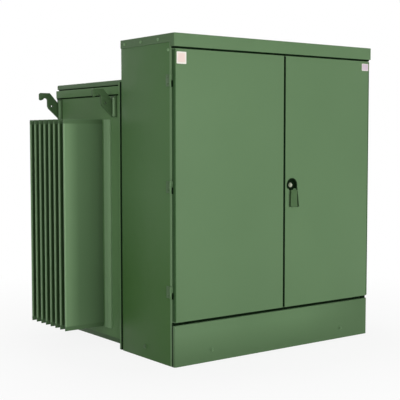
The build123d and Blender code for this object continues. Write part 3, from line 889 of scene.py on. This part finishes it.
hatch_low, hatch_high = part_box("handhole_cover")
hatch = block("handhole_plate", hatch_low, hatch_high)
pick_edges(lambda at, way: abs(way.z) > 0.9)
round_edges(0.03, 6)
pick_edges(lambda at, way: near(at.z, hatch_high.z))
round_edges(0.002, 2)
done(hatch, green_paint, stands_for=["handhole_cover"])
HATCH_INSET = 0.026
hatch_x = [hatch_low.x + HATCH_INSET, 0.0, hatch_high.x - HATCH_INSET]
hatch_y = [hatch_low.y + HATCH_INSET, hatch_high.y - HATCH_INSET]
hatch_places = [(x, y, hatch_high.z) for x in hatch_x for y in hatch_y]
hatch_places += [(x, sum(hatch_y) / 2, hatch_high.z) for x in (hatch_x[0], hatch_x[2])]
bolts("handhole_bolts", hatch_places, "z", 1, BOLT)


# Cooling fins, one pressed plate modelled and repeated

FIN_COUNT = 8
FIN_THICK = 0.014
FIN_FLANGE = 0.009
FIN_SHOULDER = 0.010
FIN_TIP = 0.004
FIN_ROUND = 0.0062
FIN_PITCH = (fin_high.y - fin_low.y - FIN_THICK) / (FIN_COUNT - 1)


def pressed_fin():
    """One hollow plate: round outer edge, pinched and welded at its top and foot."""
    low, high = fin_low, fin_high
    fin = block("left_fins", low, (high.x, low.y + FIN_THICK, high.z))
    middle = low.y + FIN_THICK / 2
    flanges = (low.z + FIN_FLANGE, high.z - FIN_FLANGE)
    for z in (*flanges, flanges[0] + FIN_SHOULDER, flanges[1] - FIN_SHOULDER):
        bpy.ops.object.mode_set(mode="EDIT")
        bpy.ops.mesh.select_all(action="SELECT")
        bpy.ops.mesh.bisect(plane_co=(0, 0, z), plane_no=(0, 0, 1))
    for z in (low.z, high.z, *flanges):
        pick_edges(lambda at, way: near(at.z, z) and abs(way.z) < 0.1)
        bpy.ops.transform.resize(value=(1, FIN_TIP / FIN_THICK, 1), center_override=(0, middle, z))
    pick_edges(lambda at, way: near(at.x, low.x) and abs(way.z) > 0.9 and low.z + 0.05 < at.z < high.z - 0.05)
    round_edges(FIN_ROUND, 5)
    return fin


fins = pressed_fin()
ease(fins, 0.0012, 2, 30)
modify(fins, "ARRAY", count=FIN_COUNT, use_relative_offset=False, use_constant_offset=True,
       constant_offset_displace=(0, FIN_PITCH, 0))
right_fins = other_side(fins, "right_fins")
done(fins, fin_paint, stands_for=["left_cooling_fins"])
done(right_fins, fin_paint, stands_for=["right_cooling_fins"])

RIB_RUN, RIB_RISE, RIB_STEP, RIB_AHEAD = 0.026, 0.010, 0.002, 0.018
RIB_PROUD, RIB_SUNK, RIB_SHORT = 0.0004, 0.002, 0.001


def radiator_ribs():
    """Two sloping ribs along the front edge of the wall that the fins are welded to."""
    low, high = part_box("left_fin_wall")
    ribs = []
    foot_x = low.x - RIB_PROUD
    for near_y in (low.y - RIB_AHEAD, low.y - RIB_AHEAD + RIB_RUN + RIB_STEP):
        rib = block("radiator_rib", (foot_x - RIB_RISE, near_y, low.z + RIB_SHORT),
                    (tank_low.x + RIB_SUNK, near_y + RIB_RUN, high.z - RIB_SHORT))
        pick_edges(lambda at, way: near(at.x, foot_x - RIB_RISE) and near(at.y, near_y))
        bpy.ops.transform.translate(value=(RIB_RISE, 0, 0))
        ease(rib, 0.0012, 3, 30)
        ribs.append(rib)
    return join("left_radiator_ribs", ribs)


plain_block("left_fin_wall", "left_radiator_wall", tank_lit_paint, 0.002)
plain_block("right_fin_wall", "right_radiator_wall", tank_lit_paint, 0.002)
left_ribs = radiator_ribs()
right_ribs = other_side(left_ribs, "right_radiator_ribs")
# The ribs take the pale paint: painted highlight.
done(left_ribs, highlight_paint)
done(right_ribs, highlight_paint)


# Lifting hooks

for hook in ("front_left_hook", "rear_left_hook", "front_right_hook", "rear_right_hook"):
    plate = solid_copy(hook, hook + "_plate")
    ease(plate, 0.0016, 2, 30)
    done(plate, hook_shade_paint, stands_for=[hook])

PAD_THICK = 0.006
BEAD, BEAD_END = 0.010, 0.004
BEAD_BEHIND, BEAD_BELOW_RIM = 0.022, 0.016


def hook_bead(hook, name):
    """A round weld bead beside the root of a hook's plate, on its pad."""
    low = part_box(hook)[0]
    length = rim_low.z - BEAD_BELOW_RIM - low.z
    return turned(name, (tank_low.x - PAD_THICK, low.y + BEAD_BEHIND, low.z), "z", [
        (BEAD_END, 0.6 * BEAD), (2 * BEAD_END, BEAD), (length - BEAD_END, BEAD), (length, 0.6 * BEAD)], 20)


for title in ("front", "rear"):
    bead = hook_bead(title + "_left_hook", title + "_left_hook_bead")
    twin = other_side(bead, title + "_right_hook_bead")
    # The beads take the pale paint: painted highlight.
    done(bead, highlight_paint)
    done(twin, highlight_paint)


# Terminals behind the doors

def row_places(node, pitch, count):
    """Where a row of like fittings stands on the board."""
    low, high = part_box(node)
    middle = (low + high) / 2
    return [(middle.x + (index - (count - 1) / 2) * pitch, BOARD_Y, middle.z) for index in range(count)]


def ring(name, at, turn, radius, wire, segments):
    """A round ring of wire or bar."""
    put_down()
    bpy.ops.mesh.primitive_torus_add(major_segments=segments[0], minor_segments=segments[1],
                                     major_radius=radius, minor_radius=wire, location=at, rotation=turn)
    return named(name)


def slanted_bar(name, at, reach, angle, size):
    """A bar turned in the board's plane, its middle a reach away from a point."""
    put_down()
    where = Vector(at) + Vector((reach * math.cos(angle), 0, reach * math.sin(angle)))
    bpy.ops.mesh.primitive_cube_add(size=1, location=where, rotation=(0, -angle, 0), scale=size)
    return named(name)


STUD_STEP = 0.037
hv_places = row_places("hv_bushings", 0.200, 3)
bushing = turned("hv_bushing_set", hv_places[0], "y", [
    (0, 0.062), (-0.010, 0.062), (-0.012, 0.060), (-0.0125, 0.046), (-0.024, 0.044), (-0.034, 0.044),
    (-0.036, 0.050), (-0.040, 0.050), (-0.043, 0.043), (-0.056, 0.042), (-0.058, 0.048), (-0.062, 0.048),
    (-0.065, 0.041), (-0.080, 0.039), (-0.084, 0.033), (-0.100, 0.031), (-0.140, 0.0275), (-0.145, 0.026),
    (-0.147, 0.023), (-0.1472, 0.014), (-0.125, 0.012)], 36)
done(copies(bushing, hv_places), epoxy_grey, stands_for=["hv_bushings"])
stud_places = [(x + dx, y - 0.011, z + dz) for x, y, z in hv_places
               for dx in (-STUD_STEP, STUD_STEP) for dz in (-STUD_STEP, STUD_STEP)]
bolts("hv_bushing_studs", stud_places, "y", -1, 0.006, bright_steel)

fuse_places = row_places("fuse_holders", 0.150, 3)
fuse = turned("fuse_holder_set", fuse_places[0], "y", [
    (0, 0.036), (-0.006, 0.036), (-0.008, 0.034), (-0.0085, 0.026), (-0.060, 0.0255), (-0.062, 0.0285),
    (-0.070, 0.0285), (-0.072, 0.0255), (-0.106, 0.025), (-0.108, 0.031), (-0.110, 0.033), (-0.126, 0.033),
    (-0.130, 0.030), (-0.132, 0.026)], 32)
done(copies(fuse, fuse_places), moulded_black, stands_for=["fuse_holders"])
pull_ring = ring("fuse_pull_rings", Vector(fuse_places[0]) + Vector((0, -0.138, 0)), (0, math.pi / 2, 0),
                 0.014, 0.0032, (28, 10))
done(copies(pull_ring, fuse_places), bright_steel)

lv_places = row_places("lv_bushings", 0.150, 4)
lv_bushing = turned("lv_bushing_set", lv_places[0], "y", [
    (0, 0.046), (-0.008, 0.046), (-0.010, 0.044), (-0.0105, 0.038), (-0.022, 0.036), (-0.024, 0.040),
    (-0.028, 0.040), (-0.031, 0.034), (-0.040, 0.032), (-0.042, 0.036), (-0.046, 0.036), (-0.049, 0.030),
    (-0.060, 0.028), (-0.062, 0.026)], 32)
done(copies(lv_bushing, lv_places), epoxy_brown, stands_for=["lv_bushings"])
SPADE_THICK = 0.012
SPADE_HOLE = 0.007
spade_low, spade_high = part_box("lv_terminal_spades")
spade = block("lv_spade_set", spade_low, (spade_low.x + SPADE_THICK, spade_high.y, spade_high.z))
pick_edges(lambda at, way: abs(way.x) > 0.9 and near(at.y, spade_low.y))
round_edges(0.008, 4)
for y in (0.024, 0.068):
    for z in (-0.018, 0.018):
        hole_at = (spade_low.x, spade_low.y + y, lv_places[0][2] + z)
        cut(spade, turned("spade_hole", hole_at, "x",
                          [(-OVERRUN, SPADE_HOLE), (SPADE_THICK + OVERRUN, SPADE_HOLE)], 20))
ease(spade, 0.0008, 1, 50)
done(copies(spade, lv_places), tinned_copper, stands_for=["lv_terminal_spades"])

gauge_places = row_places("gauges", 0.165, 3)
case = turned("gauge_cases", gauge_places[0], "y", [
    (0, 0.040), (-0.026, 0.040), (-0.028, 0.046), (-0.030, 0.048), (-0.040, 0.048), (-0.042, 0.046),
    (-0.0421, 0.041), (-0.036, 0.0405)], 40)
done(copies(case, gauge_places), moulded_black, stands_for=["gauges"])
dial = turned("gauge_dials", gauge_places[0], "y", [(-0.034, 0.0405), (-0.037, 0.0405), (-0.0372, 0.038)], 40)
done(copies(dial, gauge_places), gauge_face)


MARK_COUNT, MARK_STEP = 11, 27


def dial_marks():
    """Plain tick marks and a pointer on a dial."""
    x, y, z = gauge_places[0]
    marks = [slanted_bar("gauge_marks", (x, y - 0.0375, z), 0.032, math.radians(225 - MARK_STEP * index),
                         (0.007, 0.0006, 0.0016)) for index in range(MARK_COUNT)]
    marks.append(slanted_bar("gauge_pointer", (x, y - 0.0380, z), 0.010, math.radians(150),
                             (0.034, 0.001, 0.002)))
    marks.append(turned("gauge_hub", gauge_places[0], "y",
                        [(-0.037, 0.004), (-0.0392, 0.004), (-0.0398, 0.003)], 16))
    return join("gauge_marks", marks)


done(copies(dial_marks(), gauge_places), moulded_black)

valve_low, valve_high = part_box("drain_valve")
valve_at = Vector(((valve_low.x + valve_high.x) / 2, BOARD_Y, (valve_low.z + valve_high.z) / 2))
barrel = turned("valve_barrel", valve_at, "y", [
    (0, 0.034), (-0.008, 0.034), (-0.0085, 0.022), (-0.026, 0.022), (-0.028, 0.026), (-0.044, 0.026),
    (-0.046, 0.020), (-0.060, 0.018), (-0.062, 0.022), (-0.070, 0.022), (-0.072, 0.010), (-0.098, 0.010),
    (-0.100, 0.008)], 28)
done(barrel, valve_brass, stands_for=["drain_valve"])
wheel_at = valve_at + Vector((0, -0.094, 0))
wheel = [ring("valve_wheel", wheel_at, (math.pi / 2, 0, 0), 0.0365, 0.0048, (40, 12))]
for degrees in (90, 210, 330):
    spoke = slanted_bar("valve_spoke", wheel_at, 0.018, math.radians(degrees), (0.036, 0.005, 0.008))
    ease(spoke, 0.0016, 2)
    wheel.append(spoke)
done(join("valve_wheel", wheel), valve_brass)

pad_low, pad_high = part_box("ground_pads")
PAD = 0.060
for side, x in (("left", pad_low.x), ("right", pad_high.x - PAD)):
    pad = block(side + "_ground_pad", (x, pad_low.y, pad_low.z), (x + PAD, pad_high.y, pad_high.z))
    ease(pad, 0.002, 2)
    done(pad, bright_steel, stands_for=["ground_pads"])
    bolts(side + "_ground_bolt", [(x + PAD / 2, pad_low.y, (pad_low.z + pad_high.z) / 2)], "y", -1, BOLT,
          bright_steel)

TAG_CORNER, TAG_BORDER, TAG_RECESS, TAG_RIVET = 0.008, 0.004, 0.0005, 0.012
tag_low, tag_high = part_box("nameplate")
tag = block("blank_rating_plate", tag_low, tag_high)
pick_edges(lambda at, way: abs(way.y) > 0.9)
round_edges(TAG_CORNER, 4)
pick_faces(lambda at, normal: normal.y < -0.9)
bpy.ops.mesh.inset(thickness=TAG_BORDER)
bpy.ops.transform.translate(value=(0, TAG_RECESS, 0))
done(tag, bare_aluminium, stands_for=["nameplate"])
tag_places = [(x, tag_low.y, z) for x in (tag_low.x + TAG_RIVET, tag_high.x - TAG_RIVET)
              for z in (tag_low.z + TAG_RIVET, tag_high.z - TAG_RIVET)]
dome_rivets("rating_plate_rivets", tag_places, "y", -1, 0.004, bright_steel)


# Blank vinyl squares on the doors

VINYL = 0.0006
VINYL_CORNER = 0.004


def blank_decal(name, x, z, finish, body, border):
    """A plain pale vinyl square on a paler border, with rounded corners."""
    rims = ((name + "_border", 0.0, 1, pale_border), (name, border, 2, finish))
    for title, inset, layers, vinyl in rims:
        front = FACE_Y - layers * VINYL
        decal = block(title, (x[0] + inset, front, z[0] + inset), (x[1] - inset, front + VINYL, z[1] - inset))
        pick_edges(lambda at, way: abs(way.y) > 0.9)
        round_edges(VINYL_CORNER, 4)
        done(decal, vinyl, body)


blank_decal("left_blank_decal", (-0.715, -0.653), (1.601, 1.664), cream_vinyl, "left_door", 0.008)
blank_decal("right_blank_decal", (0.666, 0.722), (1.622, 1.665), lilac_vinyl, "right_door", 0.003)


# Floor, light and camera

FLOOR_SIZE, FLOOR_Z = 60, -0.0005
FLOOR_GREY = (0.80, 0.80, 0.80, 1)
WHITE = (1, 1, 1, 1)
SHADOW_REACH, SHADOW_WHITE = (1.1, 2.8), (0.88, 1.0)
FILL = 0.14


def new_node(tree, kind, **values):
    """A shader node with numbers or colours set on its sockets, written with _ for a space."""
    node = tree.nodes.new("ShaderNode" + kind)
    for socket, value in values.items():
        node.inputs[socket.replace("_", " ")].default_value = value
    return node


def seen_rays(tree, *kinds):
    """A share that is 1 for rays of the kinds given."""
    path = new_node(tree, "LightPath")
    shown = path.outputs[kinds[0]]
    for kind in kinds[1:]:
        either = new_node(tree, "Math")
        either.operation = "MAXIMUM"
        tree.links.new(shown, either.inputs[0])
        tree.links.new(path.outputs[kind], either.inputs[1])
        shown = either.outputs["Value"]
    return shown


def mix_shaders(tree, share, one, two):
    """Two shaders, the second one in its share."""
    mixer = new_node(tree, "MixShader")
    for value, socket in ((share, 0), (one, 1), (two, 2)):
        tree.links.new(value, mixer.inputs[socket])
    return mixer.outputs["Shader"]


def white_floor():
    """Floor paint that is white to the eye but for the shadow close to the unit."""
    white = bpy.data.materials.new("white_floor")
    white.use_nodes = True
    tree = white.node_tree
    tree.nodes.clear()
    paper = new_node(tree, "BsdfDiffuse", Color=FLOOR_GREY).outputs["BSDF"]
    glow = new_node(tree, "Emission", Color=WHITE, Strength=1.0).outputs["Emission"]
    reach = new_node(tree, "VectorMath")
    reach.operation = "LENGTH"
    fade = new_node(tree, "MapRange", From_Min=SHADOW_REACH[0], From_Max=SHADOW_REACH[1],
                    To_Min=SHADOW_WHITE[0], To_Max=SHADOW_WHITE[1])
    tree.links.new(new_node(tree, "TexCoord").outputs["Object"], reach.inputs[0])
    tree.links.new(reach.outputs["Value"], fade.inputs["Value"])
    shown = mix_shaders(tree, fade.outputs["Result"], paper, glow)
    seen = mix_shaders(tree, seen_rays(tree, "Is Camera Ray", "Is Glossy Ray"), paper, shown)
    tree.links.new(seen, new_node(tree, "OutputMaterial").inputs["Surface"])
    return white


def studio():
    """A world that lights a little and is plain white where it is seen."""
    world = bpy.data.worlds.new("studio")
    world.use_nodes = True
    tree = world.node_tree
    tree.nodes.clear()
    fill = new_node(tree, "Background", Color=WHITE, Strength=FILL).outputs["Background"]
    backdrop = new_node(tree, "Background", Color=WHITE, Strength=1.0).outputs["Background"]
    share = seen_rays(tree, "Is Camera Ray", "Is Glossy Ray", "Is Transmission Ray")
    tree.links.new(mix_shaders(tree, share, fill, backdrop), new_node(tree, "OutputWorld").inputs["Surface"])
    return world


put_down()
bpy.ops.mesh.primitive_plane_add(size=FLOOR_SIZE, location=(0, 0, FLOOR_Z))
floor = named("floor")
floor.data.materials.append(white_floor())
bpy.context.scene.world = studio()


def soft_lamp(name, at, aim, size, power):
    """A large square lamp turned to a point."""
    lamp = bpy.data.lights.new(name, "AREA")
    lamp.shape = "SQUARE"
    lamp.size = size
    lamp.energy = power
    holder = bpy.data.objects.new(name, lamp)
    bpy.context.scene.collection.objects.link(holder)
    holder.location = at
    holder.rotation_euler = (Vector(aim) - Vector(at)).to_track_quat("-Z", "Y").to_euler()
    holder.visible_camera = False


WIDE, WIDER = 2.4, 2.6
soft_lamp("key_lamp", (0.21, -6.60, 1.6), (0, -0.6, 0.9), WIDE, 187)
soft_lamp("front_left_lamp", (-2.82, -5.90, 1.9), (0, -0.6, 0.9), WIDE, 88)
soft_lamp("left_lamp", (-6.00, -0.30, 1.9), (0, -0.3, 0.9), WIDE, 46)
soft_lamp("right_lamp", (6.20, 0.40, 2.2), (0, 0.2, 0.9), WIDE, 110)
soft_lamp("rear_lamp", (1.60, 6.80, 2.2), (0, 0.6, 0.9), WIDER, 230)
soft_lamp("top_lamp", (0.30, 0.60, 6.60), (0, 0.3, 1.5), WIDER, 100)

YAW, PITCH, ROLL = math.radians(36.883), math.radians(3.820), math.radians(0.045)
LENS, SENSOR, FAR = 83.65, 36.0, 200
STANDS_AT = (-2.80363 + SIDE_X, -3.96056 + FACE_Y, 1.21527)
lens = bpy.data.cameras.new("photo_camera")
lens.lens, lens.sensor_width, lens.clip_end = LENS, SENSOR, FAR
camera = bpy.data.objects.new("photo_camera", lens)
bpy.context.scene.collection.objects.link(camera)
camera.location = STANDS_AT
camera.rotation_euler = (math.pi / 2 - PITCH, ROLL, -YAW)
bpy.context.scene.camera = camera
bpy.context.scene.view_settings.view_transform = "Standard"

put_down()
